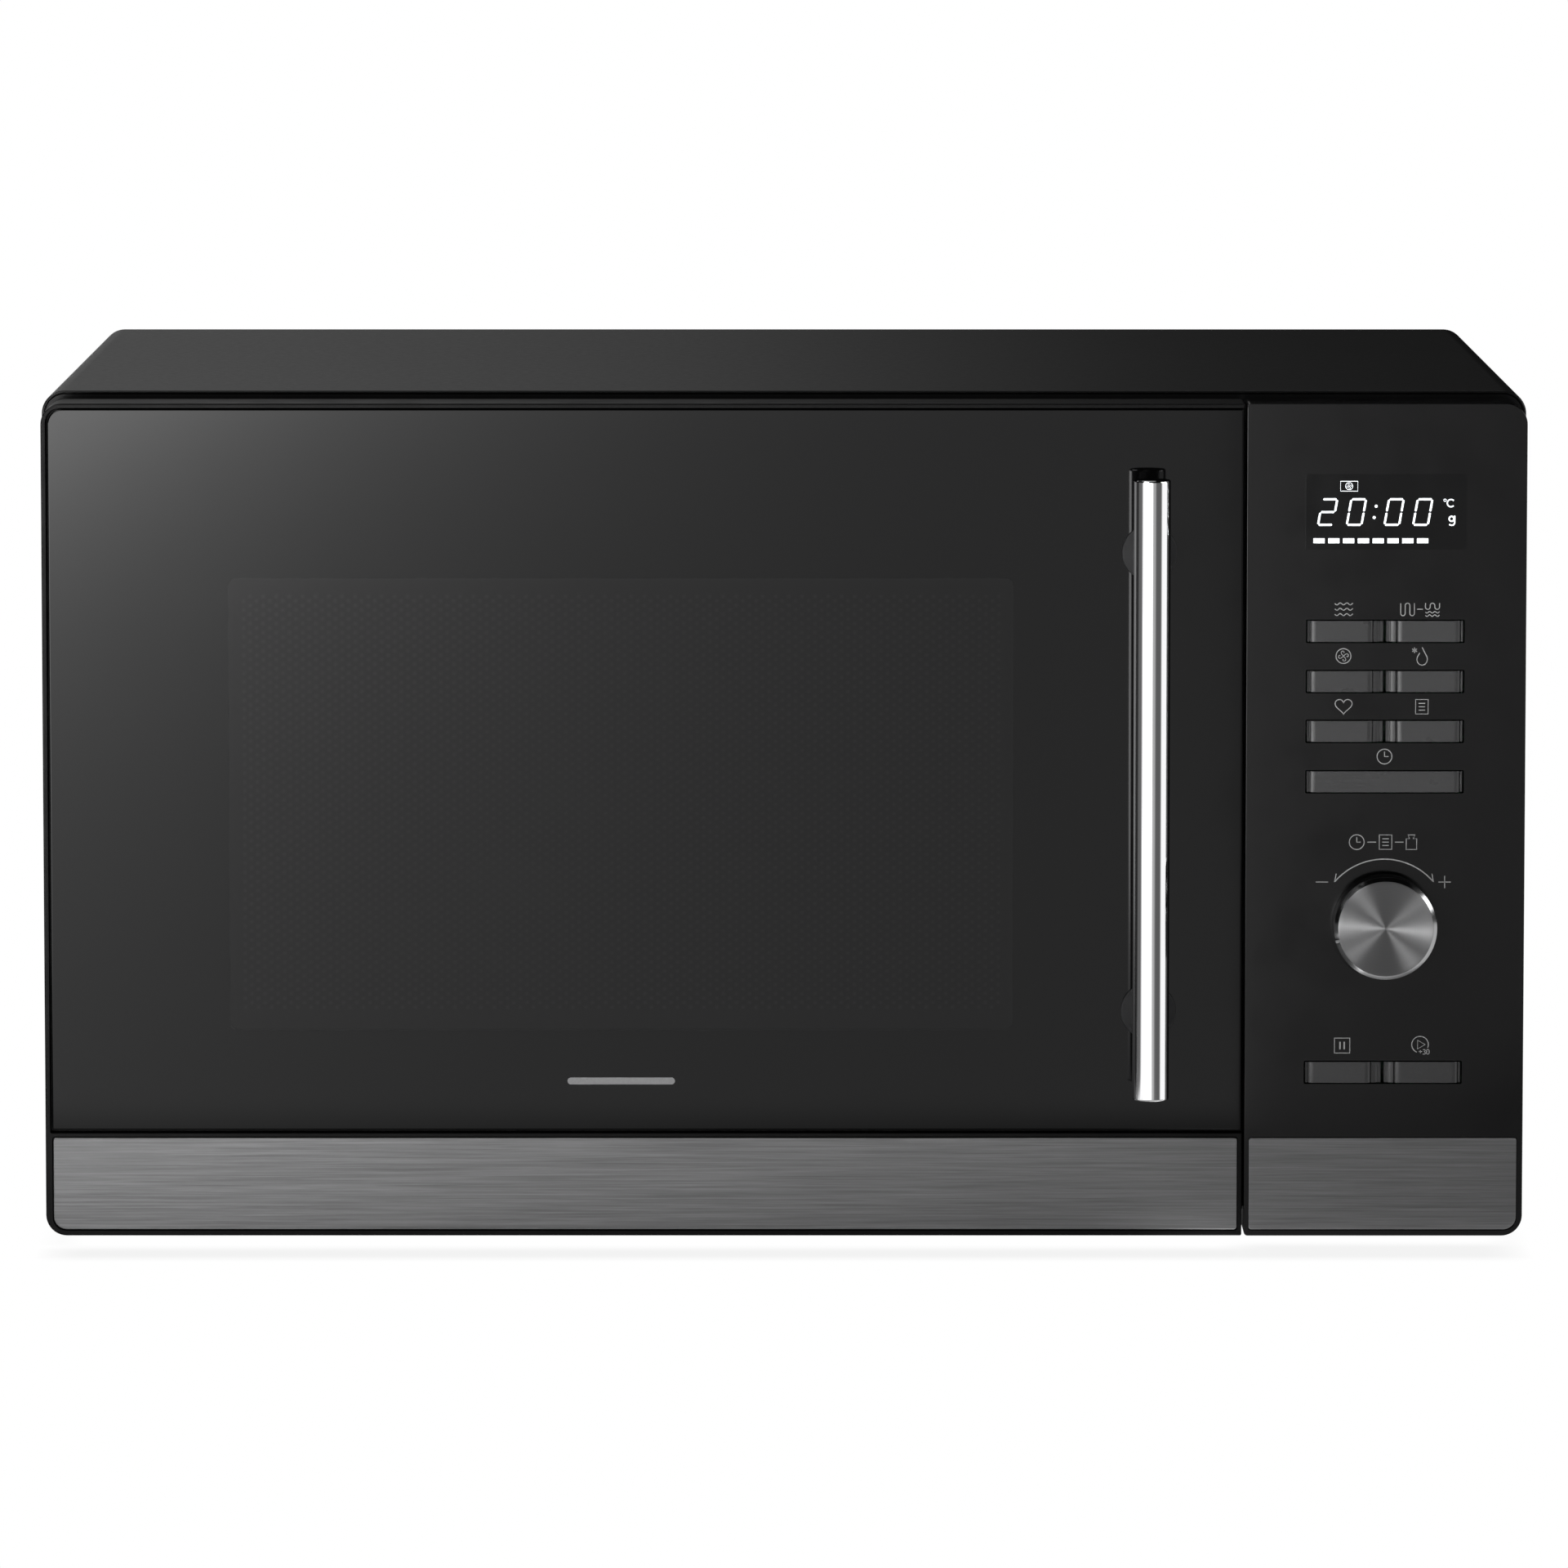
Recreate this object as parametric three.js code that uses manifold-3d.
// Combination microwave oven (microwave, grill and hot air) for a worktop.
// Millimetres, +Z up, front towards -Y. Origin on the worktop, under the middle of the box.

import * as THREE from 'three';
import { mergeVertices } from 'three/addons/utils/BufferGeometryUtils.js';
import Module from 'manifold-3d';

const wasm = await Module();
wasm.setup();

// ---------------------------------------------------------------- driving dimensions

const GAP = 0.3; // air kept between pieces that touch on the real oven
const SHEET = 1; // folded sheet metal

// outer casing
const COVER_HALF_WIDTH = 256.5;
const COVER_TOP = 298;
const COVER_BOTTOM = 11;
const COVER_FRONT = -151;
const COVER_BACK = 185;
const COVER_RADIUS = 8;
const COVER_HEM = 8; // width of the flange turned in under the base
const REAR_BULGE = 215;
const FOOT_RADIUS = 14;
const FOOT_SPREAD = 205;
const FOOT_FRONT_Y = -112;
const FOOT_REAR_Y = 152;

// the door and the control panel share one front face
const FACE_Y = -184;
const FACE_HALF_WIDTH = 254.7;
const FACE_BOTTOM = 8;
const FACE_TOP = 295.8;
const FACE_RADIUS = 7.2;
const DOOR_RIGHT = 157.9;
const DOOR_BACK = -160.4;
const PANEL_LEFT = 158.7;
const EDGE_BEVEL = 0.8;

// glass above, brushed metal strip below
const GLASS_LEFT = -252.3;
const GLASS_RIGHT = 156.5;
const GLASS_BOTTOM = 45;
const GLASS_TOP = 293.9;
const GLASS_THICKNESS = 4;
const GLASS_CORNERS = [1, 1, 1, 5]; // low left, low right, high right, high left
const STRIP_BOTTOM = 10.2;
const STRIP_TOP = 42.1;
const STRIP_THICKNESS = 0.8;
const STRIP_RADIUS = 4.5;
const STRIP_LEFT = -252;
const STRIP_RIGHT = 156.2;
const PANEL_STRIP_LEFT = 160.3;
const PANEL_STRIP_RIGHT = 252.6;

// cooking cavity
const CAVITY_X = -56;
const CAVITY_WIDTH = 330;
const CAVITY_FLOOR = 48;
const CAVITY_CEILING = 268;
const CAVITY_BACK = 152;
const CAVITY_LEFT = CAVITY_X - CAVITY_WIDTH / 2;
const CAVITY_RIGHT = CAVITY_X + CAVITY_WIDTH / 2;
const CAVITY_MID_Z = (CAVITY_FLOOR + CAVITY_CEILING) / 2;

// door window and door inside
const WINDOW_LEFT = -190.8;
const WINDOW_RIGHT = 78.9;
const WINDOW_BOTTOM = 79.4;
const WINDOW_TOP = 235.8;
const CHOKE_REACH = 20; // how far the seal ring runs past the cavity mouth
const CHOKE_BACK = -152.3;
const HINGE_X = -248.5;
const HINGE_Y = -166.5;
const HINGE_PIN_RADIUS = 2.4;
const HINGE_UPPER_Z = 276;
const HINGE_LOWER_Z = 24;
const HINGE_PIN_LENGTH = 14;

// handle
const HANDLE_X = 125.4;
const HANDLE_Y = -208.75;
const HANDLE_RADIUS = 6.25;
const HANDLE_BOTTOM = 58.8;
const HANDLE_TOP = 271.6;
const POST_UPPER_Z = 244.6;
const POST_LOWER_Z = 86.3;
const POST_RADIUS = 5;
const POST_DISC_RADIUS = 9.55;
const POST_DISC_THICKNESS = 1.8;
const STUD_RADIUS = 3;
const STUD_HOLE_RADIUS = 3.6;

// door latch
const LATCH_X = 143;
const LATCH_UPPER_Z = 235;
const LATCH_LOWER_Z = 79;
const LATCH_SLOT_HEIGHT = 24;

// controls
const KEY_WELL_LEFT = 179.1;
const KEY_WELL_RIGHT = 233.6;
const KEY_WELL_HEIGHT = 8.1;
const KEY_SPLIT_X = 206.2;
const KEY_SPLIT_GAP = 1;
const KEY_CLEARANCE = 0.4;
const KEY_PROUD = 0.4;
const KEY_ROWS = [217.5, 200.2, 183, 165.6, 64.9];
const KEY_PAIR_ROWS = ['power', 'hot_air', 'auto'];
const DISPLAY_LEFT = 178.8;
const DISPLAY_RIGHT = 234;
const DISPLAY_BOTTOM = 245.7;
const DISPLAY_TOP = 271.5;
const KNOB_X = 206.5;
const KNOB_Z = 116;
const KNOB_RADIUS = 17.75;
const KNOB_FACE_Y = -195.5;
const KNOB_WELL_RADIUS = 18.8;
const KNOB_WELL_DEPTH = 2;
const KNOB_CHAMFER = 1.5;
const KNOB_CONE = 0.7; // depth of the shallow cone in the face
const KNOB_BORE_FRONT = 3.2; // where the shaft bore starts, behind the face
const INDEX_LENGTH = 1.7;
const INDEX_WIDTH = 1;
const INDEX_ANGLE = (15 * Math.PI) / 180; // below the minus side
const ENCODER_SHAFT_RADIUS = 3;
const BOARD_FRONT = -173;

// turntable
const PLATE_RADIUS = 135;
const ROLLER_RADIUS = 7;
const ROLLER_CIRCLE = 90;
const ROLLER_WIDTH = 8;
const DRIVE_SHAFT_RADIUS = 3.5;

// hot-air fan behind the cavity, cooling fan in the equipment bay
const HOT_FAN_RADIUS = 60;
const HOT_HOUSING_RADIUS = 98;
const HOT_HOUSING_BACK = 181;
const HOT_SHAFT_RADIUS = 3;
const COOL_FAN_X = 185;
const COOL_FAN_Z = 172;
const COOL_FAN_RADIUS = 46;

// ---------------------------------------------------------------- finishes

function finish(color, roughness, metalness) {
  return new THREE.MeshStandardMaterial({ color, roughness, metalness });
}

const FINISH = {
  casing: finish(0x303134, 0.45, 0.3),
  steel: finish(0x9b9c9e, 0.35, 0.9),
  galvanised: finish(0x8d9094, 0.5, 0.8),
  brushed: finish(0x8a8b8d, 0.3, 0.95),
  chrome: finish(0xd8d9da, 0.08, 1),
  glass: finish(0x2a2a2c, 0.06, 0),
  clearGlass: finish(0xb9c6c4, 0.05, 0),
  darkPlastic: finish(0x232326, 0.4, 0),
  panelPlastic: finish(0x28272a, 0.35, 0),
  key: finish(0x3f3f42, 0.45, 0),
  knob: finish(0x46464a, 0.3, 0.7),
  rubber: finish(0x1b1b1b, 0.85, 0),
  board: finish(0x1f5a36, 0.6, 0),
  whitePlastic: finish(0xd9d8d2, 0.5, 0),
  mica: finish(0xb7b0a0, 0.6, 0),
  heater: finish(0x4a4540, 0.55, 0.5),
  iron: finish(0x4d4843, 0.6, 0.6),
};

// ---------------------------------------------------------------- solids

const QUARTER = Math.PI / 2;
const MERGE_DISTANCE = 1e-4;

/** Closed three.js geometry to a solid that can be joined and cut. */
function solid(geometry) {
  geometry.deleteAttribute('normal');
  geometry.deleteAttribute('uv');
  const merged = mergeVertices(geometry, MERGE_DISTANCE);
  const corners = merged.index.array;
  const kept = [];
  for (let i = 0; i < corners.length; i += 3) {
    const [a, b, c] = [corners[i], corners[i + 1], corners[i + 2]];
    if (a !== b && b !== c && c !== a) kept.push(a, b, c);
  }
  const mesh = new wasm.Mesh({
    numProp: 3,
    vertProperties: new Float32Array(merged.attributes.position.array),
    triVerts: new Uint32Array(kept),
  });
  return new wasm.Manifold(mesh);
}

function join(first, ...others) {
  return others.reduce((whole, other) => whole.add(other), first);
}

function cut(body, ...tools) {
  return tools.reduce((rest, tool) => rest.subtract(tool), body);
}

/** A named mesh made from a solid and hung in its group. */
function piece(name, body, material, parent) {
  const data = body.getMesh();
  const geometry = new THREE.BufferGeometry();
  geometry.setAttribute('position', new THREE.BufferAttribute(new Float32Array(data.vertProperties), 3));
  geometry.setIndex(new THREE.BufferAttribute(new Uint32Array(data.triVerts), 1));
  geometry.computeVertexNormals();
  const mesh = new THREE.Mesh(geometry, material);
  mesh.name = name;
  parent.add(mesh);
  return mesh;
}

function grow([low, high], by) {
  return [low - by, high + by];
}

function box([x0, x1], [y0, y1], [z0, z1]) {
  const geometry = new THREE.BoxGeometry(x1 - x0, y1 - y0, z1 - z0);
  geometry.translate((x0 + x1) / 2, (y0 + y1) / 2, (z0 + z1) / 2);
  return solid(geometry);
}

function roundCorner(shape, u, v, radius, start) {
  if (radius > 0) shape.absarc(u, v, radius, start, start + QUARTER, false);
}

/** Rectangle; radii run low-left, low-right, high-right, high-left. */
function rectangle([u0, u1], [v0, v1], radius = 0) {
  const [a, b, c, d] = Array.isArray(radius) ? radius : [radius, radius, radius, radius];
  const shape = new THREE.Shape();
  shape.moveTo(u0 + a, v0);
  shape.lineTo(u1 - b, v0);
  roundCorner(shape, u1 - b, v0 + b, b, -QUARTER);
  shape.lineTo(u1, v1 - c);
  roundCorner(shape, u1 - c, v1 - c, c, 0);
  shape.lineTo(u0 + d, v1);
  roundCorner(shape, u0 + d, v1 - d, d, QUARTER);
  shape.lineTo(u0, v0 + a);
  roundCorner(shape, u0 + a, v0 + a, a, Math.PI);
  return shape;
}

/** Outline in X and Z, pushed out from front to back; bevel softens both rims. */
function slabY(shape, front, back, bevel = 0) {
  const geometry = new THREE.ExtrudeGeometry(shape, {
    depth: back - front - 2 * bevel,
    curveSegments: 3,
    bevelEnabled: bevel > 0,
    bevelThickness: bevel,
    bevelSize: bevel,
    bevelOffset: -bevel,
    bevelSegments: 1,
  });
  geometry.rotateX(QUARTER);
  geometry.translate(0, back - bevel, 0);
  return solid(geometry);
}

/** Outline in X and Y, pushed up. */
function slabZ(shape, bottom, top) {
  const geometry = new THREE.ExtrudeGeometry(shape, {
    depth: top - bottom,
    curveSegments: 3,
    bevelEnabled: false,
  });
  geometry.translate(0, 0, bottom);
  return solid(geometry);
}

/** Round bar along an axis, from one place on it to another. */
function rod(axis, radius, [from, to], [u, v] = [0, 0], sides = 16) {
  const geometry = new THREE.CylinderGeometry(radius, radius, to - from, sides);
  const middle = (from + to) / 2;
  if (axis === 'x') {
    geometry.rotateZ(-QUARTER);
    geometry.translate(middle, u, v);
  } else if (axis === 'y') {
    geometry.translate(u, middle, v);
  } else {
    geometry.rotateX(QUARTER);
    geometry.translate(u, v, middle);
  }
  return solid(geometry);
}

/** Solid of revolution about Z; the profile is [radius, z], from low to high on the outside. */
function turnedZ(profile, sides = 24) {
  const geometry = new THREE.LatheGeometry(profile.map(([r, z]) => new THREE.Vector2(r, z)), sides);
  geometry.rotateX(QUARTER);
  return solid(geometry);
}

/** Solid of revolution about Y; the profile is [radius, y], from front to back on the outside. */
function turnedY(profile, sides = 24) {
  return solid(new THREE.LatheGeometry(profile.map(([r, y]) => new THREE.Vector2(r, y)), sides));
}

/** The same solid turned about an axis through the origin, count times round a full circle. */
function aroundAxis(count, makeGeometry, turn) {
  return Array.from({ length: count }, (_, i) => {
    const geometry = makeGeometry();
    geometry[turn]((i * 2 * Math.PI) / count);
    return solid(geometry);
  });
}

// ---------------------------------------------------------------- outer casing

const SLOT_LENGTH = 30;
const SLOT_HEIGHT = 3.2;
const SLOT_PITCH = 8;
const BACK_SLOT_LENGTH = 38;
const INTAKE_Z = 206; // lowest slot of the upper side vents
const LOWER_VENT_Z = 60;

/** Ventilation slots through a side wall, in columns along Y. */
function sideSlots([x0, x1], columns, firstZ, rows) {
  const slots = [];
  for (const y of columns) {
    for (let row = 0; row < rows; row += 1) {
      const z = firstZ + row * SLOT_PITCH;
      slots.push(box([x0, x1], [y, y + SLOT_LENGTH], [z, z + SLOT_HEIGHT]));
    }
  }
  return slots;
}

/** Ventilation slots through a back wall, in columns along X. */
function backSlots([y0, y1], columns, firstZ, rows, length = SLOT_LENGTH) {
  const slots = [];
  for (const x of columns) {
    for (let row = 0; row < rows; row += 1) {
      const z = firstZ + row * SLOT_PITCH;
      slots.push(box([x, x + length], [y0, y1], [z, z + SLOT_HEIGHT]));
    }
  }
  return slots;
}

/** Folded U of painted sheet with a short flange turned in under each side. */
function outerCover(parent) {
  const w = COVER_HALF_WIDTH;
  const r = COVER_RADIUS;
  const shape = new THREE.Shape();
  shape.moveTo(-w + COVER_HEM, COVER_BOTTOM);
  shape.lineTo(-w, COVER_BOTTOM);
  shape.lineTo(-w, COVER_TOP - r);
  shape.absarc(-w + r, COVER_TOP - r, r, Math.PI, QUARTER, true);
  shape.lineTo(w - r, COVER_TOP);
  shape.absarc(w - r, COVER_TOP - r, r, QUARTER, 0, true);
  shape.lineTo(w, COVER_BOTTOM);
  shape.lineTo(w - COVER_HEM, COVER_BOTTOM);
  shape.lineTo(w - COVER_HEM, COVER_BOTTOM + SHEET);
  shape.lineTo(w - SHEET, COVER_BOTTOM + SHEET);
  shape.lineTo(w - SHEET, COVER_TOP - r);
  shape.absarc(w - r, COVER_TOP - r, r - SHEET, 0, QUARTER, false);
  shape.lineTo(-w + r, COVER_TOP - SHEET);
  shape.absarc(-w + r, COVER_TOP - r, r - SHEET, QUARTER, Math.PI, false);
  shape.lineTo(-w + SHEET, COVER_BOTTOM + SHEET);
  shape.lineTo(-w + COVER_HEM, COVER_BOTTOM + SHEET);
  const right = [w - 2, w + 1];
  const left = [-w - 1, -w + 2];
  const vents = [
    ...sideSlots(right, [60, 98], INTAKE_Z, 6),
    ...sideSlots(right, [-60, -22], LOWER_VENT_Z, 4),
    ...sideSlots(left, [98, 136], INTAKE_Z, 4),
  ];
  const shell = slabY(shape, COVER_FRONT, COVER_BACK);
  piece('outer_cover', cut(shell, ...vents), FINISH.casing, parent);
}

const INNER_HALF_WIDTH = COVER_HALF_WIDTH - SHEET - GAP;
const INNER_TOP = COVER_TOP - SHEET - GAP;
const BASE_BOTTOM = COVER_BOTTOM + SHEET + GAP;
const BASE_TOP = BASE_BOTTOM + SHEET;
const INNER_RADIUS = COVER_RADIUS - SHEET - GAP;
const INNER_CORNERS = [0, 0, INNER_RADIUS, INNER_RADIUS];
const REAR_PANEL_FRONT = COVER_BACK - SHEET - 0.4;
const FRONT_FRAME_BACK = COVER_FRONT + 1.5;

function basePlate(parent) {
  const outlineXY = rectangle([-INNER_HALF_WIDTH, INNER_HALF_WIDTH],
    [FRONT_FRAME_BACK + GAP, REAR_PANEL_FRONT - GAP]);
  const vents = [];
  for (let row = 0; row < 5; row += 1) {
    const y = -70 + row * 2 * SLOT_PITCH;
    vents.push(box([150, 225], [y, y + SLOT_HEIGHT], [BASE_BOTTOM - 1, BASE_TOP + 1]));
  }
  const plate = slabZ(outlineXY, BASE_BOTTOM, BASE_TOP);
  piece('base_plate', cut(plate, ...vents), FINISH.galvanised, parent);
}

function feet(parent) {
  const top = BASE_BOTTOM - GAP;
  const places = {
    foot_front_left: [-FOOT_SPREAD, FOOT_FRONT_Y],
    foot_front_right: [FOOT_SPREAD, FOOT_FRONT_Y],
    foot_rear_left: [-FOOT_SPREAD, FOOT_REAR_Y],
    foot_rear_right: [FOOT_SPREAD, FOOT_REAR_Y],
  };
  for (const [name, [x, y]] of Object.entries(places)) {
    const r = FOOT_RADIUS;
    const body = turnedZ([[0, 0], [r - 2, 0], [r, 2.5], [r, top - 3], [r - 4, top], [0, top]], 16);
    piece(name, body, FINISH.rubber, parent).position.set(x, y, 0);
  }
}

const GLAND_X = 214;
const GLAND_Z = 38;
const GLAND_NECK = 8;
const GLAND_FLANGE = 11;
const GLAND_BORE = 4.2;
const MOTOR_OPENING = 38;
const MOTOR_COVER_HALF = 72;
const MOTOR_COVER_RADIUS = 10;

function rearPanel(parent) {
  const shape = rectangle([-INNER_HALF_WIDTH, INNER_HALF_WIDTH], [BASE_TOP + GAP, INNER_TOP],
    INNER_CORNERS);
  const through = [REAR_PANEL_FRONT - 1, COVER_BACK + 1];
  const openings = [
    rod('y', MOTOR_OPENING, through, [CAVITY_X, CAVITY_MID_Z], 24),
    rod('y', GLAND_NECK + 0.4, through, [GLAND_X, GLAND_Z]),
    ...backSlots(through, [142, 192], 154, 5, BACK_SLOT_LENGTH),
    ...backSlots(through, [-225, -185], 248, 3),
  ];
  const panel = slabY(shape, REAR_PANEL_FRONT, REAR_PANEL_FRONT + SHEET);
  piece('rear_panel', cut(panel, ...openings), FINISH.galvanised, parent);
}

/** Pressed box over the hot-air motor; it keeps the oven off the wall. */
function rearMotorCover(parent) {
  const half = MOTOR_COVER_HALF;
  const x = [CAVITY_X - half, CAVITY_X + half];
  const z = [CAVITY_MID_Z - half, CAVITY_MID_Z + half];
  const front = COVER_BACK + GAP;
  const outer = slabY(rectangle(x, z, MOTOR_COVER_RADIUS), front, REAR_BULGE);
  const inner = slabY(rectangle([x[0] + SHEET, x[1] - SHEET], [z[0] + SHEET, z[1] - SHEET],
    MOTOR_COVER_RADIUS - SHEET), front - 1, REAR_BULGE - SHEET);
  const vents = backSlots([REAR_BULGE - 3, REAR_BULGE + 1],
    [CAVITY_X - 50, CAVITY_X + 12], CAVITY_MID_Z - 22, 6, BACK_SLOT_LENGTH);
  piece('rear_motor_cover', cut(outer, inner, ...vents), FINISH.casing, parent);
}

/** Flanged bush that the mains lead leaves through. */
function cordGland(parent) {
  const neckFront = REAR_PANEL_FRONT - 6;
  const face = COVER_BACK + 3;
  const body = turnedY([[0, neckFront], [GLAND_NECK, neckFront], [GLAND_NECK, COVER_BACK],
    [GLAND_FLANGE, COVER_BACK], [GLAND_FLANGE, face - 1], [GLAND_FLANGE - 1, face], [0, face]], 20);
  const bore = rod('y', GLAND_BORE, [neckFront - 1, face + 1]);
  piece('cord_gland', cut(body, bore), FINISH.rubber, parent).position.set(GLAND_X, 0, GLAND_Z);
}

// ---------------------------------------------------------------- chassis and cavity

const BOARD_OPENING_X = [168, 246];
const BOARD_OPENING_Z = [26, 286];

function latchWindow([y0, y1], z, widen = 0) {
  const halfHeight = LATCH_SLOT_HEIGHT / 2 + widen;
  return box([LATCH_X - 4 - widen, LATCH_X + 4 + widen], [y0, y1], [z - halfHeight, z + halfHeight]);
}

/** Front plate: cavity mouth on the left, latch windows, opening behind the control panel. */
function frontFrame(parent) {
  const through = [COVER_FRONT - 1, FRONT_FRAME_BACK + 1];
  const shape = rectangle([-INNER_HALF_WIDTH, INNER_HALF_WIDTH], [BASE_TOP + GAP, INNER_TOP],
    INNER_CORNERS);
  const mouth = slabY(rectangle([CAVITY_LEFT, CAVITY_RIGHT], [CAVITY_FLOOR, CAVITY_CEILING], 6),
    ...through);
  const openings = [
    mouth,
    box(BOARD_OPENING_X, through, BOARD_OPENING_Z),
    latchWindow(through, LATCH_UPPER_Z),
    latchWindow(through, LATCH_LOWER_Z),
  ];
  const plate = slabY(shape, COVER_FRONT + GAP, FRONT_FRAME_BACK);
  piece('front_frame', cut(plate, ...openings), FINISH.casing, parent);
}

const PORT_Y = 36;
const PORT_Z = [178, 236];
const LAMP_Y = -88;
const LAMP_Z = 240;
const LAMP_BULB_RADIUS = 9;
const LAMP_HOLDER_HALF = 13;
const HEATER_Z = 258;
const HEATER_TUBE = 3.2;
const HEATER_PITCH = 45;
const HEATER_ENDS = [-125, -125 + 3 * HEATER_PITCH];
const INTAKE_HOLE = 4.5;

/** Rings of holes in the back wall, which the hot-air fan draws through. */
function intakeHoles([y0, y1]) {
  const holes = [rod('y', INTAKE_HOLE, [y0, y1], [CAVITY_X, CAVITY_MID_Z], 6)];
  for (const ring of [1, 2]) {
    const count = 6 * ring;
    for (let i = 0; i < count; i += 1) {
      const angle = (i * 2 * Math.PI) / count;
      const x = CAVITY_X + ring * 16 * Math.cos(angle);
      const z = CAVITY_MID_Z + ring * 16 * Math.sin(angle);
      holes.push(rod('y', INTAKE_HOLE, [y0, y1], [x, z], 6));
    }
  }
  return holes;
}

/** Slots round the rim of the back wall, which the hot air comes back through. */
function outletSlots([y0, y1]) {
  const slots = [];
  for (const side of [-1, 1]) {
    for (let row = -2; row <= 2; row += 1) {
      const z = CAVITY_MID_Z + row * 16;
      const x = CAVITY_X + side * 78;
      slots.push(box([x - 9, x + 9], [y0, y1], [z - 2, z + 2]));
    }
  }
  return slots;
}

/** Five-walled box of coated sheet, open to the front. */
function cavity(parent) {
  const front = FRONT_FRAME_BACK + GAP;
  const shell = box([CAVITY_LEFT - SHEET, CAVITY_RIGHT + SHEET], [front, CAVITY_BACK + SHEET],
    [CAVITY_FLOOR - SHEET, CAVITY_CEILING + SHEET]);
  const room = box([CAVITY_LEFT, CAVITY_RIGHT], [front - 1, CAVITY_BACK],
    [CAVITY_FLOOR, CAVITY_CEILING]);
  const backWall = [CAVITY_BACK - 1, CAVITY_BACK + SHEET + 1];
  const rightWall = [CAVITY_RIGHT - 1, CAVITY_RIGHT + SHEET + 1];
  const heaterHoles = HEATER_ENDS.map((x) => rod('y', HEATER_TUBE + 0.8, backWall, [x, HEATER_Z], 12));
  const lampHoles = aroundLamp().map(([y, z]) => rod('x', 1.8, rightWall, [y, z], 6));
  const openings = [
    rod('z', 8, [CAVITY_FLOOR - SHEET - 1, CAVITY_FLOOR + 1], [CAVITY_X, 0], 20),
    box(rightWall, [-PORT_Y, PORT_Y], PORT_Z),
    ...heaterHoles,
    ...lampHoles,
    ...intakeHoles(backWall),
    ...outletSlots(backWall),
  ];
  piece('cavity', cut(shell, room, ...openings), FINISH.galvanised, parent);
}

function aroundLamp() {
  const places = [[LAMP_Y, LAMP_Z]];
  for (let i = 0; i < 6; i += 1) {
    const angle = (i * Math.PI) / 3;
    places.push([LAMP_Y + 6 * Math.cos(angle), LAMP_Z + 6 * Math.sin(angle)]);
  }
  return places;
}

/** Plate on the front frame with a tongue and a pin; side is -1 for a pin that points down. */
function hingeBracket(name, z, side, parent) {
  const plateBack = COVER_FRONT;
  const plateFront = plateBack - 2.2;
  const plate = box([-5, 4.6], [plateFront - HINGE_Y, plateBack - HINGE_Y], [-13, 13]);
  const tongueShape = new THREE.Shape();
  tongueShape.moveTo(4, plateBack - HINGE_Y - 1);
  tongueShape.lineTo(-4, plateBack - HINGE_Y - 1);
  tongueShape.lineTo(-4, 0);
  tongueShape.absarc(0, 0, 4, Math.PI, 2 * Math.PI, false);
  const tongue = slabZ(tongueShape, -1, 1);
  const pinEnds = side < 0 ? [-HINGE_PIN_LENGTH, 0] : [0, HINGE_PIN_LENGTH];
  const pin = rod('z', HINGE_PIN_RADIUS, pinEnds);
  piece(name, join(plate, tongue, pin), FINISH.steel, parent).position.set(HINGE_X, HINGE_Y, z);
}

// ---------------------------------------------------------------- microwave generator and electrics

const GUIDE_RIGHT = 150;
const MAGNETRON_Z = (PORT_Z[0] + PORT_Z[1]) / 2;
const ANTENNA_RADIUS = 8;
const YOKE_WIDTH = 52;
const YOKE_HALF_DEPTH = 40;
const YOKE_Z = [MAGNETRON_Z - 31, MAGNETRON_Z + 31];
const YOKE_SHEET = 2;

/** Rectangular duct from the magnetron to the port in the right cavity wall. */
function waveguide(parent) {
  const left = CAVITY_RIGHT + SHEET + GAP;
  const [z0, z1] = [PORT_Z[0] - 6, PORT_Z[1] + 6];
  const halfY = PORT_Y + 6;
  const outer = box([left, GUIDE_RIGHT], [-halfY, halfY], [z0, z1]);
  const inner = box([left - 1, GUIDE_RIGHT - SHEET], [1 - halfY, halfY - 1], [z0 + 1, z1 - 1]);
  const antennaHole = rod('x', ANTENNA_RADIUS + 3, [GUIDE_RIGHT - 3, GUIDE_RIGHT + 1], [0, MAGNETRON_Z], 20);
  piece('waveguide', cut(outer, inner, antennaHole), FINISH.galvanised, parent);
}

/** Thin mica sheet that keeps steam and splashes out of the waveguide. */
function waveguideCover(parent) {
  const body = box([CAVITY_RIGHT - 1.4, CAVITY_RIGHT - 0.6], [-PORT_Y - 6, PORT_Y + 6],
    [PORT_Z[0] - 6, PORT_Z[1] + 6]);
  piece('waveguide_cover', body, FINISH.mica, parent);
}

/** Yoke with cooling fins, filter box and an antenna dome that stands in the waveguide. */
function magnetron(parent) {
  const left = GUIDE_RIGHT + GAP;
  const right = left + YOKE_WIDTH;
  const depth = [-YOKE_HALF_DEPTH, YOKE_HALF_DEPTH];
  const around = (half) => [MAGNETRON_Z - half, MAGNETRON_Z + half];
  const yoke = [
    box([left, left + YOKE_SHEET], depth, YOKE_Z),
    box([right - YOKE_SHEET, right], depth, YOKE_Z),
    box([left, right], [depth[0], depth[0] + YOKE_SHEET], YOKE_Z),
    box([left, right], [depth[1] - YOKE_SHEET, depth[1]], YOKE_Z),
    box([left + 1, right - 1], [-18, 18], around(18)),
    rod('x', ANTENNA_RADIUS, [left - 18, left + 1], [0, MAGNETRON_Z], 16),
    box([right - 3, right + 22], [-26, 26], around(23)),
  ];
  const fins = [];
  for (let i = 0; i < 4; i += 1) {
    const x = left + 14 + i * 7;
    fins.push(box([x, x + 0.8], grow(depth, -1.5), grow(YOKE_Z, -2)));
  }
  piece('magnetron', join(...yoke, ...fins), FINISH.steel, parent);
}

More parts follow.
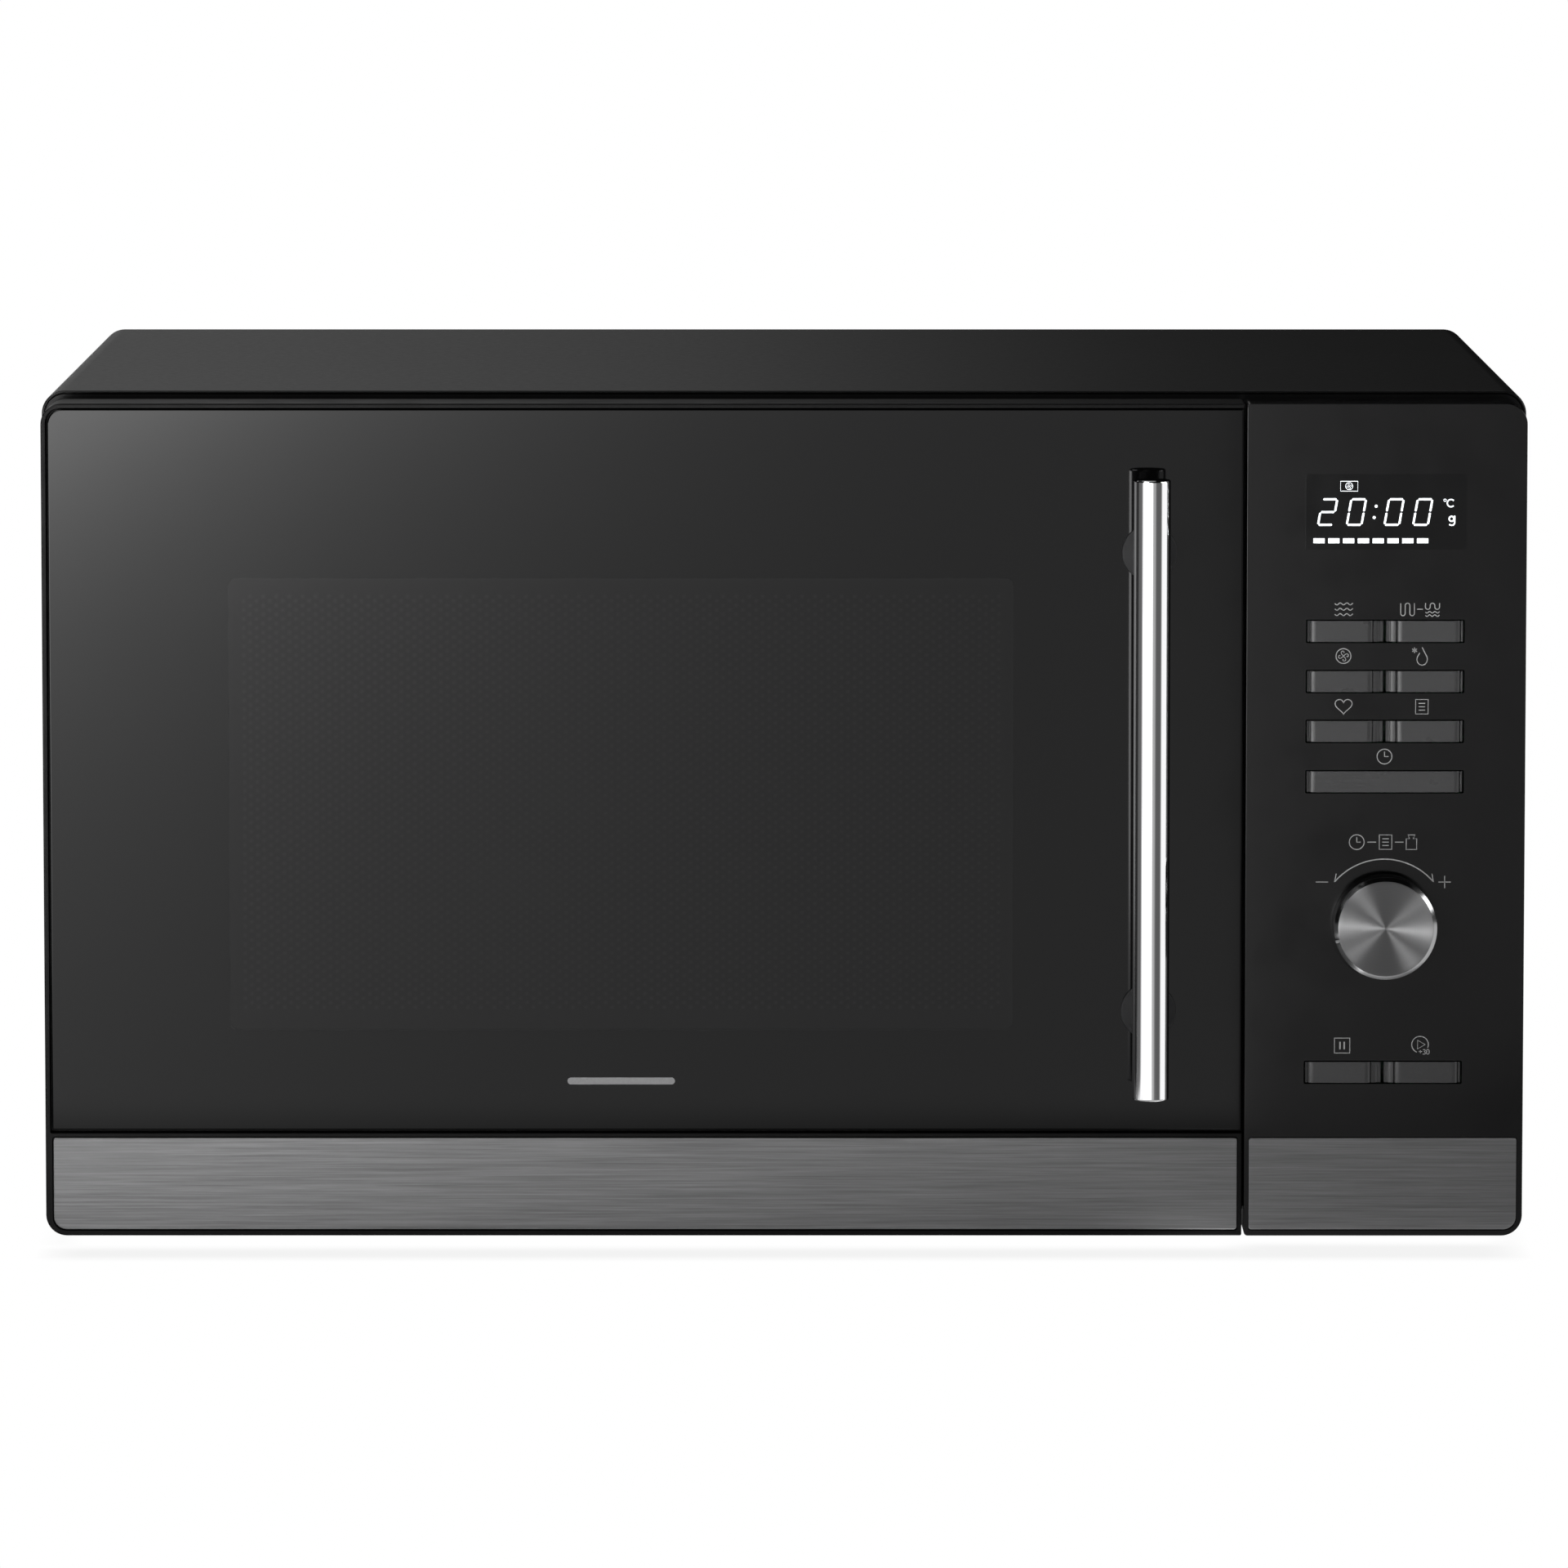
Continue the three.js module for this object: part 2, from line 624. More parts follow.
const BAY_X = 188; // middle of the equipment bay beside the cavity
const TRANSFORMER_Y = 67;
const CORE_HEIGHT = 72;
const CAPACITOR_Y = -82;
const CAPACITOR_HEIGHT = 84;

/** High-voltage transformer: laminated core with two windings. */
function transformer(parent) {
  const bottom = BASE_TOP + GAP;
  const block = (halfX, halfY, z) => box([BAY_X - halfX, BAY_X + halfX],
    [TRANSFORMER_Y - halfY, TRANSFORMER_Y + halfY], z);
  const foot = block(38, 33, [bottom, bottom + 4]);
  const core = block(32, 21, [bottom + 3, bottom + CORE_HEIGHT]);
  const primary = block(26, 33, [bottom + 12, bottom + 34]);
  const secondary = block(26, 31, [bottom + 40, bottom + 62]);
  piece('transformer', join(foot, core, primary, secondary), FINISH.iron, parent);
}

/** Oval high-voltage capacitor in its strap, with two terminals on top. */
function capacitor(parent) {
  const bottom = BASE_TOP + GAP;
  const top = bottom + CAPACITOR_HEIGHT;
  const outline = (halfX, halfY, radius) => rectangle([BAY_X - halfX, BAY_X + halfX],
    [CAPACITOR_Y - halfY, CAPACITOR_Y + halfY], radius);
  const can = slabZ(outline(24, 16, 14), bottom + 2, top);
  const strap = slabZ(outline(28, 12, 2), bottom, bottom + 5);
  const terminals = [-8, 8].map((x) => rod('z', 3, [top - 1, top + 8], [BAY_X + x, CAPACITOR_Y], 12));
  piece('capacitor', join(can, strap, ...terminals), FINISH.steel, parent);
}

function cavityLamp(parent) {
  const left = CAVITY_RIGHT + SHEET + GAP;
  const half = LAMP_HOLDER_HALF;
  const depth = [LAMP_Y - half, LAMP_Y + half];
  const bulb = rod('x', LAMP_BULB_RADIUS, [left + 4, left + 26], [LAMP_Y, LAMP_Z], 16);
  const holder = box([left + 24, left + 44], depth, [LAMP_Z - half, LAMP_Z + half]);
  const bracket = box([left, left + 44], depth, [LAMP_Z + half - 1, LAMP_Z + half + 1]);
  piece('cavity_lamp', join(bulb, holder, bracket), FINISH.whitePlastic, parent);
}

/** Body behind the front frame that the two door hooks enter. */
function latchBody(parent) {
  const front = FRONT_FRAME_BACK + GAP;
  const block = box([LATCH_X - 9, LATCH_X + 9], [front, front + 36], [60, 254]);
  const relief = box([LATCH_X - 10, LATCH_X + 10], [front + 12, front + 40], [112, 202]);
  const pockets = [LATCH_UPPER_Z, LATCH_LOWER_Z].map((z) => latchWindow([front - 1, front + 28], z, 1));
  piece('latch_body', cut(block, relief, ...pockets), FINISH.whitePlastic, parent);
}

// ---------------------------------------------------------------- fans and heaters

const COOL_SHROUD_HALF = 57;
const COOL_SHROUD_FRONT = 160;
const COOL_SHROUD_BACK = REAR_PANEL_FRONT - GAP;

/** Plastic duct round the cooling fan, with the bar that carries its motor. */
function fanShroud(parent) {
  const width = [COOL_FAN_X - COOL_SHROUD_HALF, COOL_FAN_X + COOL_SHROUD_HALF];
  const height = [COOL_FAN_Z - COOL_SHROUD_HALF, COOL_FAN_Z + COOL_SHROUD_HALF];
  const frame = box(width, [COOL_SHROUD_FRONT, COOL_SHROUD_BACK], height);
  const throat = rod('y', COOL_FAN_RADIUS + 4, [COOL_SHROUD_FRONT - 1, COOL_SHROUD_BACK + 1],
    [COOL_FAN_X, COOL_FAN_Z], 32);
  const bar = box(width, [COOL_SHROUD_FRONT - 3, COOL_SHROUD_FRONT + 1],
    [COOL_FAN_Z - 8, COOL_FAN_Z + 8]);
  const shaftHole = rod('y', 5, [COOL_SHROUD_FRONT - 4, COOL_SHROUD_FRONT + 2],
    [COOL_FAN_X, COOL_FAN_Z], 12);
  piece('fan_shroud', cut(join(cut(frame, throat), bar), shaftHole), FINISH.whitePlastic, parent);
}

function coolingFanMotor(parent) {
  const back = COOL_SHROUD_FRONT - 3 - GAP;
  const stack = box([-24, 24], [back - 20, back], [-26, 26]);
  const winding = box([-16, 16], [back - 30, back - 6], [-22, 6]);
  const shaft = rod('y', 2.5, [back - 24, back + 20], [0, 0], 12);
  const motor = piece('cooling_fan_motor', join(stack, winding, shaft), FINISH.iron, parent);
  motor.position.set(COOL_FAN_X, 0, COOL_FAN_Z);
}

function coolingFanImpeller(parent) {
  const hub = rod('y', 12, [-8, 8], [0, 0], 20);
  const blades = aroundAxis(5, () => {
    const blade = new THREE.BoxGeometry(COOL_FAN_RADIUS - 10, 1.6, 24);
    blade.rotateX(0.6);
    blade.translate((COOL_FAN_RADIUS + 10) / 2, 0, 0);
    return blade;
  }, 'rotateY');
  const bore = rod('y', 3, [-9, 9], [0, 0], 12);
  const fan = piece('cooling_fan_impeller', cut(join(hub, ...blades), bore), FINISH.whitePlastic, parent);
  fan.position.set(COOL_FAN_X, (COOL_SHROUD_FRONT + COOL_SHROUD_BACK) / 2 + 0.8, COOL_FAN_Z);
}

/** Round pan behind the cavity that the hot-air fan and its ring heater work in. */
function convectionHousing(parent) {
  const front = CAVITY_BACK + SHEET + GAP;
  const centre = [CAVITY_X, CAVITY_MID_Z];
  const pan = rod('y', HOT_HOUSING_RADIUS, [front, HOT_HOUSING_BACK], centre, 32);
  const room = rod('y', HOT_HOUSING_RADIUS - SHEET, [front - 1, HOT_HOUSING_BACK - SHEET], centre, 32);
  const shaftHole = rod('y', 6, [HOT_HOUSING_BACK - 3, HOT_HOUSING_BACK + 1], centre, 12);
  const endHoles = [-10, 10].map((x) => rod('y', 4.5,
    [HOT_HOUSING_BACK - 3, HOT_HOUSING_BACK + 1],
    [CAVITY_X + x, CAVITY_MID_Z - HOT_RING_RADIUS], 12));
  piece('convection_housing', cut(pan, room, shaftHole, ...endHoles), FINISH.galvanised, parent);
}

const HOT_RING_RADIUS = 80;
const HOT_RING_Y = 166;

/** Sheathed ring element with both ends led out through the back of the pan. */
function convectionHeater(parent) {
  const ring = new THREE.TorusGeometry(HOT_RING_RADIUS, HEATER_TUBE, 6, 28);
  ring.rotateX(QUARTER);
  const ends = [-10, 10].map((x) => rod('y', HEATER_TUBE,
    [0, HOT_HOUSING_BACK + 1.8 - HOT_RING_Y], [x, -HOT_RING_RADIUS + 0.6], 8));
  const body = join(solid(ring), ...ends);
  piece('convection_heater', body, FINISH.heater, parent).position.set(CAVITY_X, HOT_RING_Y, CAVITY_MID_Z);
}

function convectionMotor(parent) {
  const front = HOT_HOUSING_BACK + GAP;
  const body = rod('y', 30, [front, front + 22], [0, 0], 24);
  const cap = rod('y', 22, [front + 21, front + 27], [0, 0], 20);
  const shaft = rod('y', HOT_SHAFT_RADIUS, [front - 22, front + 1], [0, 0], 12);
  const motor = piece('convection_motor', join(body, cap, shaft), FINISH.iron, parent);
  motor.position.set(CAVITY_X, 0, CAVITY_MID_Z);
}

/** Stamped disc with ten blades bent up from it. */
function convectionFan(parent) {
  const disc = rod('y', HOT_FAN_RADIUS, [4, 5.2], [0, 0], 30);
  const hub = rod('y', 8, [-5, 5.2], [0, 0], 16);
  const blades = aroundAxis(10, () => {
    const blade = new THREE.BoxGeometry(30, 10, 1.2);
    blade.rotateY(0.35);
    blade.translate(HOT_FAN_RADIUS - 17, -0.5, 0);
    return blade;
  }, 'rotateY');
  const bore = rod('y', HOT_SHAFT_RADIUS + 0.5, [-6, 6], [0, 0], 12);
  const fan = piece('convection_fan', cut(join(disc, hub, ...blades), bore), FINISH.steel, parent);
  fan.position.set(CAVITY_X, 167, CAVITY_MID_Z);
}

/** Sheathed grill element: four runs under the ceiling, both ends through the back wall. */
function grillHeater(parent) {
  const back = CAVITY_BACK + 6;
  const [near, far] = [-96, 84];
  const bend = HEATER_PITCH / 2;
  const runs = [0, 1, 2, 3].map((i) => HEATER_ENDS[0] + i * HEATER_PITCH);
  const points = [[runs[0], back], [runs[0], far], [runs[0], near + bend]];
  runs.slice(1).forEach((x, i) => {
    const towardsFront = i % 2 === 0;
    const tip = towardsFront ? near : far + bend;
    const shoulder = towardsFront ? near + bend : far;
    points.push([x - bend, tip], [x, shoulder], [x, (near + far) / 2]);
  });
  points.push([runs[3], far], [runs[3], back]);
  const path = new THREE.CatmullRomCurve3(
    points.map(([x, y]) => new THREE.Vector3(x, y, HEATER_Z)), false, 'centripetal');
  const section = new THREE.Shape();
  section.absarc(0, 0, HEATER_TUBE, 0, 2 * Math.PI, false);
  const tube = new THREE.ExtrudeGeometry(section, { steps: 60, curveSegments: 3, extrudePath: path });
  piece('grill_heater', solid(tube), FINISH.heater, parent);
}

// ---------------------------------------------------------------- turntable

function turntableMotor(parent) {
  const top = CAVITY_FLOOR - SHEET - GAP;
  const can = rod('z', 25, [top - 17, top], [0, 0], 24);
  const ears = box([-32, 32], [-8, 8], [top - 1.5, top]);
  const shaft = rod('z', DRIVE_SHAFT_RADIUS, [top - 1, CAVITY_FLOOR + 6.5], [0, 0], 12);
  piece('turntable_motor', join(can, ears, shaft), FINISH.steel, parent).position.set(CAVITY_X, 0, 0);
}

/** Three-lobed driver on the motor shaft. */
function turntableCoupler(parent) {
  const shape = new THREE.Shape();
  const points = 30;
  for (let i = 0; i < points; i += 1) {
    const angle = (i * 2 * Math.PI) / points;
    const r = 11 + 3 * Math.cos(3 * angle);
    const move = i === 0 ? 'moveTo' : 'lineTo';
    shape[move](r * Math.cos(angle), r * Math.sin(angle));
  }
  shape.closePath();
  const body = slabZ(shape, 1, 12);
  const bore = rod('z', DRIVE_SHAFT_RADIUS + 0.4, [0, 7], [0, 0], 12);
  const coupler = piece('turntable_coupler', cut(body, bore), FINISH.whitePlastic, parent);
  coupler.position.set(CAVITY_X, 0, CAVITY_FLOOR);
}

/** Glass plate with a raised rim and three lugs that sit between the lobes of the driver. */
function glassTurntable(parent) {
  const under = 2 * ROLLER_RADIUS + 2 * GAP;
  const r = PLATE_RADIUS;
  const dish = turnedZ([[0, under], [r - 7, under], [r - 1, under + 5], [r, under + 10.4],
    [r - 3.2, under + 10.4], [r - 4, under + 6.6], [r - 8.5, under + 4], [0, under + 4]], 36);
  const lugs = aroundAxis(3, () => {
    const lug = new THREE.BoxGeometry(7, 6, 6);
    lug.translate(-13.5, 0, under - 2);
    return lug;
  }, 'rotateZ');
  const plate = piece('glass_turntable', join(dish, ...lugs), FINISH.clearGlass, parent);
  plate.position.set(CAVITY_X, 0, CAVITY_FLOOR);
}

const AXLE_RADIUS = 2.1;
const AXLE_Z = CAVITY_FLOOR + ROLLER_RADIUS + GAP;

/** Ring that carries the rollers on three stub axles with small end caps. */
function rollerRing(parent) {
  const [inner, outer] = [ROLLER_CIRCLE - 13, ROLLER_CIRCLE - 6];
  const hoop = turnedZ([[inner, -2.5], [outer, -2.5], [outer, 2.5], [inner, 2.5], [inner, -2.5]], 30);
  const tip = ROLLER_CIRCLE + ROLLER_WIDTH / 2 + 2;
  const axles = aroundAxis(3, () => {
    const axle = new THREE.CylinderGeometry(AXLE_RADIUS, AXLE_RADIUS, tip - outer + 2, 8);
    axle.rotateZ(-QUARTER);
    axle.translate((tip + outer - 2) / 2, 0, 0);
    return axle;
  }, 'rotateZ');
  const caps = aroundAxis(3, () => {
    const cap = new THREE.CylinderGeometry(3.4, 3.4, 1.2, 8);
    cap.rotateZ(-QUARTER);
    cap.translate(tip - 0.6, 0, 0);
    return cap;
  }, 'rotateZ');
  const ring = piece('roller_ring', join(hoop, ...axles, ...caps), FINISH.whitePlastic, parent);
  ring.position.set(CAVITY_X, 0, AXLE_Z);
}

function rollers(parent) {
  ['roller_a', 'roller_b', 'roller_c'].forEach((name, i) => {
    const turned = new THREE.Group();
    turned.position.set(CAVITY_X, 0, AXLE_Z);
    turned.rotation.z = (i * 2 * Math.PI) / 3;
    const half = ROLLER_WIDTH / 2;
    const wheel = rod('x', ROLLER_RADIUS, [-half, half], [0, 0], 20);
    const bore = rod('x', AXLE_RADIUS + 0.4, [-half - 1, half + 1], [0, 0], 12);
    piece(name, cut(wheel, bore), FINISH.whitePlastic, turned).position.set(ROLLER_CIRCLE, 0, 0);
    parent.add(turned);
  });
}

// ---------------------------------------------------------------- door

const DOOR_RECESS_Y = -176;
const CHOKE_X = [CAVITY_LEFT - CHOKE_REACH, CAVITY_RIGHT + CHOKE_REACH];
const CHOKE_Z = [CAVITY_FLOOR - CHOKE_REACH, CAVITY_CEILING + CHOKE_REACH];
const SIGHT_X = [WINDOW_LEFT - 8, WINDOW_RIGHT + 8];
const SIGHT_Z = [WINDOW_BOTTOM - 8, WINDOW_TOP + 8];
const LATCH_CHANNEL = [LATCH_X - 5, LATCH_X + 5];

/** Pocket in the frame's back corner for one hinge tongue, with the hole for its pin. */
function hingePocket(z, side) {
  const pocket = box([-FACE_HALF_WIDTH - 1, HINGE_X + 4.7], [HINGE_Y - 6, DOOR_BACK + 1],
    [z - 4, z + 4]);
  const holeEnds = side < 0 ? [z - HINGE_PIN_LENGTH - 1, z] : [z, z + HINGE_PIN_LENGTH + 1];
  return [pocket, rod('z', HINGE_PIN_RADIUS + 0.5, holeEnds, [HINGE_X, HINGE_Y])];
}

/** Moulded frame: seats for glass and strip in front, hollow for the metal door inside behind. */
function doorFrame(parent) {
  const shape = rectangle([-FACE_HALF_WIDTH, DOOR_RIGHT], [FACE_BOTTOM, FACE_TOP],
    [FACE_RADIUS, 1.5, 1.5, FACE_RADIUS]);
  const block = slabY(shape, FACE_Y + 0.2, DOOR_BACK, EDGE_BEVEL);
  const glassSeat = slabY(rectangle(grow([GLASS_LEFT, GLASS_RIGHT], GAP),
    grow([GLASS_BOTTOM, GLASS_TOP], GAP), GLASS_CORNERS), FACE_Y - 1, FACE_Y + GLASS_THICKNESS + GAP);
  const stripSeat = slabY(rectangle(grow([STRIP_LEFT, STRIP_RIGHT], GAP),
    grow([STRIP_BOTTOM, STRIP_TOP], GAP), [STRIP_RADIUS, 1, 1, 1]),
  FACE_Y - 1, FACE_Y + STRIP_THICKNESS + GAP);
  const sight = slabY(rectangle(SIGHT_X, SIGHT_Z, 6), FACE_Y, DOOR_BACK);
  const hollow = box(grow(CHOKE_X, 1), [DOOR_RECESS_Y, DOOR_BACK + 1], grow(CHOKE_Z, 0.6));
  const channel = box(LATCH_CHANNEL, [DOOR_RECESS_Y, DOOR_BACK + 1], [58, 256]);
  const studHoles = [POST_UPPER_Z, POST_LOWER_Z].map((z) => rod('y', STUD_HOLE_RADIUS,
    [FACE_Y, DOOR_RECESS_Y + 1], [HANDLE_X, z]));
  const tools = [glassSeat, stripSeat, sight, hollow, channel, ...studHoles,
    ...hingePocket(HINGE_UPPER_Z, -1), ...hingePocket(HINGE_LOWER_Z, 1)];
  piece('door_frame', cut(block, ...tools), FINISH.darkPlastic, parent);
}

function doorGlass(parent) {
  const pane = slabY(rectangle([GLASS_LEFT, GLASS_RIGHT], [GLASS_BOTTOM, GLASS_TOP], GLASS_CORNERS),
    FACE_Y, FACE_Y + GLASS_THICKNESS, 0.4);
  const holes = [POST_UPPER_Z, POST_LOWER_Z].map((z) => rod('y', STUD_HOLE_RADIUS,
    [FACE_Y - 1, FACE_Y + GLASS_THICKNESS + 1], [HANDLE_X, z]));
  piece('door_glass', cut(pane, ...holes), FINISH.glass, parent);
}

function doorTrimStrip(parent) {
  const shape = rectangle([STRIP_LEFT, STRIP_RIGHT], [STRIP_BOTTOM, STRIP_TOP], [STRIP_RADIUS, 1, 1, 1]);
  piece('door_trim_strip', slabY(shape, FACE_Y, FACE_Y + STRIP_THICKNESS), FINISH.brushed, parent);
}

/** Sheet-metal pan behind the glass: perforated sight area and folded seal walls. */
function doorInnerPlate(parent) {
  const front = DOOR_RECESS_Y + GAP;
  const x = grow(CHOKE_X, 0.4);
  const z = grow(CHOKE_Z, 0.2);
  const sheet = box(x, [front, front + 0.8], z);
  const rim = cut(box(x, [front, DOOR_BACK - 0.2], z),
    box(grow(x, -1.2), [front - 1, DOOR_BACK + 1], grow(z, -1.2)));
  const sightWall = cut(box(grow(SIGHT_X, -1), [front, DOOR_BACK - 0.2], grow(SIGHT_Z, -1)),
    box(grow(SIGHT_X, -2.2), [front - 1, DOOR_BACK + 1], grow(SIGHT_Z, -2.2)));
  const boltHoles = [POST_UPPER_Z, POST_LOWER_Z].map((height) => rod('y', STUD_HOLE_RADIUS,
    [front - 1, front + 2.5], [HANDLE_X, height]));
  piece('door_inner_plate', cut(join(sheet, rim, sightWall), ...boltHoles), FINISH.steel, parent);
}

/** Plastic ring that closes the seal channel, with the plate that the two hooks come through. */
function doorChokeCover(parent) {
  const front = DOOR_BACK + GAP;
  const sight = slabY(rectangle(SIGHT_X, SIGHT_Z, 6), front - 1, CHOKE_BACK + 1);
  const flange = slabY(rectangle([CHOKE_X[0], DOOR_RIGHT - 3], CHOKE_Z, 3), front, front + 1.8);
  const ring = slabY(rectangle(CHOKE_X, CHOKE_Z, 3), front + 1, CHOKE_BACK, EDGE_BEVEL / 2);
  const hooks = [LATCH_UPPER_Z, LATCH_LOWER_Z].map((z) => latchWindow([front - 1, front + 3], z, 0.5));
  piece('door_choke_cover', cut(join(flange, ring), sight, ...hooks), FINISH.darkPlastic, parent);
}

function doorInnerGlass(parent) {
  const shape = rectangle(grow(SIGHT_X, -GAP), grow(SIGHT_Z, -GAP), 6);
  piece('door_inner_glass', slabY(shape, DOOR_BACK + 1, DOOR_BACK + 4), FINISH.clearGlass, parent);
}

/** Spring-loaded bar inside the door with an upper and a lower hook. */
function latchKey(parent) {
  const barBack = DOOR_BACK - 5;
  const bar = box([-3, 3], [barBack - 5, barBack], [LATCH_LOWER_Z - 15, LATCH_UPPER_Z + 12]);
  const hooks = [LATCH_UPPER_Z, LATCH_LOWER_Z].flatMap((z) => [
    box([-2.5, 2.5], [barBack - 1, -134], [z - 4, z + 2]),
    box([-2.5, 2.5], [-138, -134], [z - 8, z + 2]),
  ]);
  piece('latch_key', join(bar, ...hooks), FINISH.whitePlastic, parent).position.set(LATCH_X, 0, 0);
}

/** Round bar in front of the glass, with turned ends. */
function handleBar(parent) {
  const length = HANDLE_TOP - HANDLE_BOTTOM;
  const r = HANDLE_RADIUS;
  const bar = turnedZ([[0, 0], [r - 0.8, 0], [r, 0.8], [r, length - 0.8], [r - 0.8, length],
    [0, length]], 24);
  piece('handle_bar', bar, FINISH.chrome, parent).position.set(HANDLE_X, HANDLE_Y, HANDLE_BOTTOM);
}

/** Post with a disc on the glass and a stud through it; a shallow saddle holds the bar. */
function handlePosts(parent) {
  for (const [name, z] of [['handle_post_upper', POST_UPPER_Z], ['handle_post_lower', POST_LOWER_Z]]) {
    const glassSide = FACE_Y - GAP;
    const saddle = rod('z', HANDLE_RADIUS + GAP, [-10, 10], [0, HANDLE_Y], 24);
    const r = POST_DISC_RADIUS;
    const disc = turnedY([[0, glassSide - POST_DISC_THICKNESS], [r - 0.6, glassSide - POST_DISC_THICKNESS],
      [r, glassSide - POST_DISC_THICKNESS + 0.6], [r, glassSide], [0, glassSide]], 24);
    const stem = cut(rod('y', POST_RADIUS, [HANDLE_Y + 1, glassSide - 1], [0, 0], 20), saddle);
    const stud = rod('y', STUD_RADIUS, [glassSide - 1, DOOR_RECESS_Y + 2], [0, 0], 12);
    piece(name, join(disc, stem, stud), FINISH.steel, parent).position.set(HANDLE_X, 0, z);
  }
}

// ---------------------------------------------------------------- control panel

const PANEL_WALL = 3.6;
const PANEL_BACK = COVER_FRONT - GAP;
const PANEL_STRIP_CORNERS = [1, STRIP_RADIUS, 1, 1];

/** Moulded fascia, hollow behind, with wells for display, keys, knob and strip. */
function controlPanel(parent) {
  const wallBack = FACE_Y + PANEL_WALL;
  const through = [FACE_Y - 1, wallBack + 1];
  const shape = rectangle([PANEL_LEFT, FACE_HALF_WIDTH], [FACE_BOTTOM, FACE_TOP],
    [1.5, FACE_RADIUS, FACE_RADIUS, 1.5]);
  const block = slabY(shape, FACE_Y, PANEL_BACK, EDGE_BEVEL);
  const hollow = slabY(rectangle([PANEL_LEFT + 2.6, FACE_HALF_WIDTH - 2.6],
    [FACE_BOTTOM + 2.6, FACE_TOP - 2.6], [0.5, 4, 4, 0.5]), wallBack, PANEL_BACK + 1);
  const displaySeat = box(grow([DISPLAY_LEFT, DISPLAY_RIGHT], GAP), [FACE_Y - 1, FACE_Y + 1.6],
    grow([DISPLAY_BOTTOM, DISPLAY_TOP], GAP));
  const displayHole = box(grow([DISPLAY_LEFT, DISPLAY_RIGHT], -3), through,
    grow([DISPLAY_BOTTOM, DISPLAY_TOP], -3));
  const stripSeat = slabY(rectangle(grow([PANEL_STRIP_LEFT, PANEL_STRIP_RIGHT], GAP),
    grow([STRIP_BOTTOM, STRIP_TOP], GAP), PANEL_STRIP_CORNERS),
  FACE_Y - 1, FACE_Y + STRIP_THICKNESS + GAP);
  const keyWells = KEY_ROWS.map((z) => box([KEY_WELL_LEFT, KEY_WELL_RIGHT], through,
    [z - KEY_WELL_HEIGHT / 2, z + KEY_WELL_HEIGHT / 2]));
  const knobWell = rod('y', KNOB_WELL_RADIUS, [FACE_Y - 1, FACE_Y + KNOB_WELL_DEPTH],
    [KNOB_X, KNOB_Z], 32);
  const bushHole = rod('y', 4, through, [KNOB_X, KNOB_Z]);
  const tools = [hollow, displaySeat, displayHole, stripSeat, ...keyWells, knobWell, bushHole];
  piece('control_panel', cut(block, ...tools), FINISH.panelPlastic, parent);
}

function displayWindow(parent) {
  const body = box([DISPLAY_LEFT, DISPLAY_RIGHT], [FACE_Y, FACE_Y + 1.2], [DISPLAY_BOTTOM, DISPLAY_TOP]);
  piece('display_window', body, FINISH.glass, parent);
}

function panelTrimStrip(parent) {
  const shape = rectangle([PANEL_STRIP_LEFT, PANEL_STRIP_RIGHT], [STRIP_BOTTOM, STRIP_TOP],
    PANEL_STRIP_CORNERS);
  piece('panel_trim_strip', slabY(shape, FACE_Y, FACE_Y + STRIP_THICKNESS), FINISH.brushed, parent);
}

/** Circuit board with its display, relays and small mains transformer. */
function controlBoard(parent) {
  const back = BOARD_FRONT + 1.6;
  const parts = [
    box([166, 248], [BOARD_FRONT, back], [30, 284]),
    box([183, 230], [BOARD_FRONT - 4.5, BOARD_FRONT + 0.5], [249, 268]),
    box([172, 190], [back - 0.5, back + 14], [40, 56]),
    box([196, 214], [back - 0.5, back + 14], [40, 56]),
    box([172, 206], [back - 0.5, back + 16], [84, 112]),
  ];
  piece('control_board', join(...parts), FINISH.board, parent);
}

/** Rotary encoder on the board; its bush stands in the fascia and its shaft carries the knob. */
function rotaryEncoder(parent) {
  const can = box([-7, 7], [FACE_Y + PANEL_WALL + GAP, BOARD_FRONT - GAP], [-7, 7]);
  const bush = rod('y', 3.6, [FACE_Y + KNOB_WELL_DEPTH + 0.2, FACE_Y + PANEL_WALL + 1], [0, 0], 12);
  const shaft = rod('y', ENCODER_SHAFT_RADIUS, [KNOB_FACE_Y + 4, FACE_Y + KNOB_WELL_DEPTH + 1], [0, 0], 12);
  piece('rotary_encoder', join(can, bush, shaft), FINISH.steel, parent).position.set(KNOB_X, 0, KNOB_Z);
}

/** Turned knob: chamfered rim, shallow cone face, index notch across the rim on the minus side. */
function knob(parent) {
  const r = KNOB_RADIUS;
  const depth = FACE_Y + KNOB_WELL_DEPTH - GAP - KNOB_FACE_Y;
  const body = turnedY([[0, KNOB_CONE], [r - KNOB_CHAMFER, 0], [r, KNOB_CHAMFER], [r, depth],
    [0, depth]], 36);
  const bore = rod('y', ENCODER_SHAFT_RADIUS + 0.4, [KNOB_BORE_FRONT, depth + 1], [0, 0], 12);
  const notch = new THREE.BoxGeometry(2 * INDEX_LENGTH, 2 * INDEX_LENGTH, INDEX_WIDTH);
  notch.translate(-r, 0, 0);
  notch.rotateY(-INDEX_ANGLE);
  const turned = piece('knob', cut(body, bore, solid(notch)), FINISH.knob, parent);
  turned.position.set(KNOB_X, KNOB_FACE_Y, KNOB_Z);
}

const KEY_HEIGHT = KEY_WELL_HEIGHT - 2 * KEY_CLEARANCE;
const KEY_ROLL = 2.1;
const KEY_LAND = 1.1; // how far the low land lies behind the raised pad

